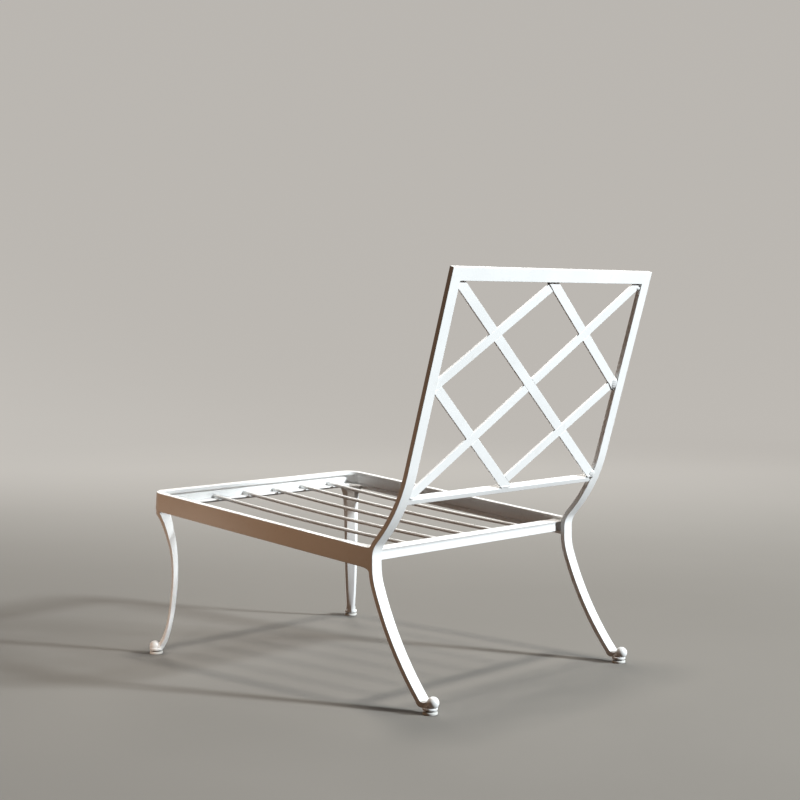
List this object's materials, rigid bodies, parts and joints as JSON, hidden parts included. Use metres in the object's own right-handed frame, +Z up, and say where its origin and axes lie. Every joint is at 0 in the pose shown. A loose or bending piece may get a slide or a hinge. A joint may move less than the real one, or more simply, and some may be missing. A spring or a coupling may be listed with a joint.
{
  "type": "patio lounge chair",
  "caption": "Armless low lounge chair in painted metal: flat-bar posts, lattice back, sloping open seat frame with lengthwise rods, bowed front legs and ball feet on glides.",
  "frame": {"origin": "on the floor, under the middle of the chair's bounding box", "axes": "+Z up, the chair faces -Y, +X is the sitter's left hand"},
  "size_m": [0.603, 0.8322, 0.7877],
  "materials": {
    "frame_paint": "smooth white paint, soft gloss",
    "glide_plastic": "off-white moulded plastic, satin"
  },
  "bodies": {
    "root": {"back_lower_rail": "frame_paint", "back_post_left": "frame_paint", "back_post_right": "frame_paint", "back_top_rail": "frame_paint", "front_leg_left": "frame_paint", "front_leg_right": "frame_paint", "glide_front_left": "glide_plastic", "glide_front_right": "glide_plastic", "glide_rear_left": "glide_plastic", "glide_rear_right": "glide_plastic", "lattice_a1": "frame_paint", "lattice_a2": "frame_paint", "lattice_a3": "frame_paint", "lattice_b1": "frame_paint", "lattice_b2": "frame_paint", "lattice_c1": "frame_paint", "lattice_d1": "frame_paint", "lattice_d2": "frame_paint", "lattice_e1": "frame_paint", "lattice_e2": "frame_paint", "lattice_f1": "frame_paint", "rear_foot_left": "frame_paint", "rear_foot_right": "frame_paint", "seat_corner_left": "frame_paint", "seat_corner_right": "frame_paint", "seat_rail_front": "frame_paint", "seat_rail_left": "frame_paint", "seat_rail_right": "frame_paint", "seat_rear_rail": "frame_paint", "seat_rod_1": "frame_paint", "seat_rod_2": "frame_paint", "seat_rod_3": "frame_paint", "seat_rod_4": "frame_paint", "seat_rod_5": "frame_paint", "seat_rod_6": "frame_paint"}
  },
  "joints": []
}
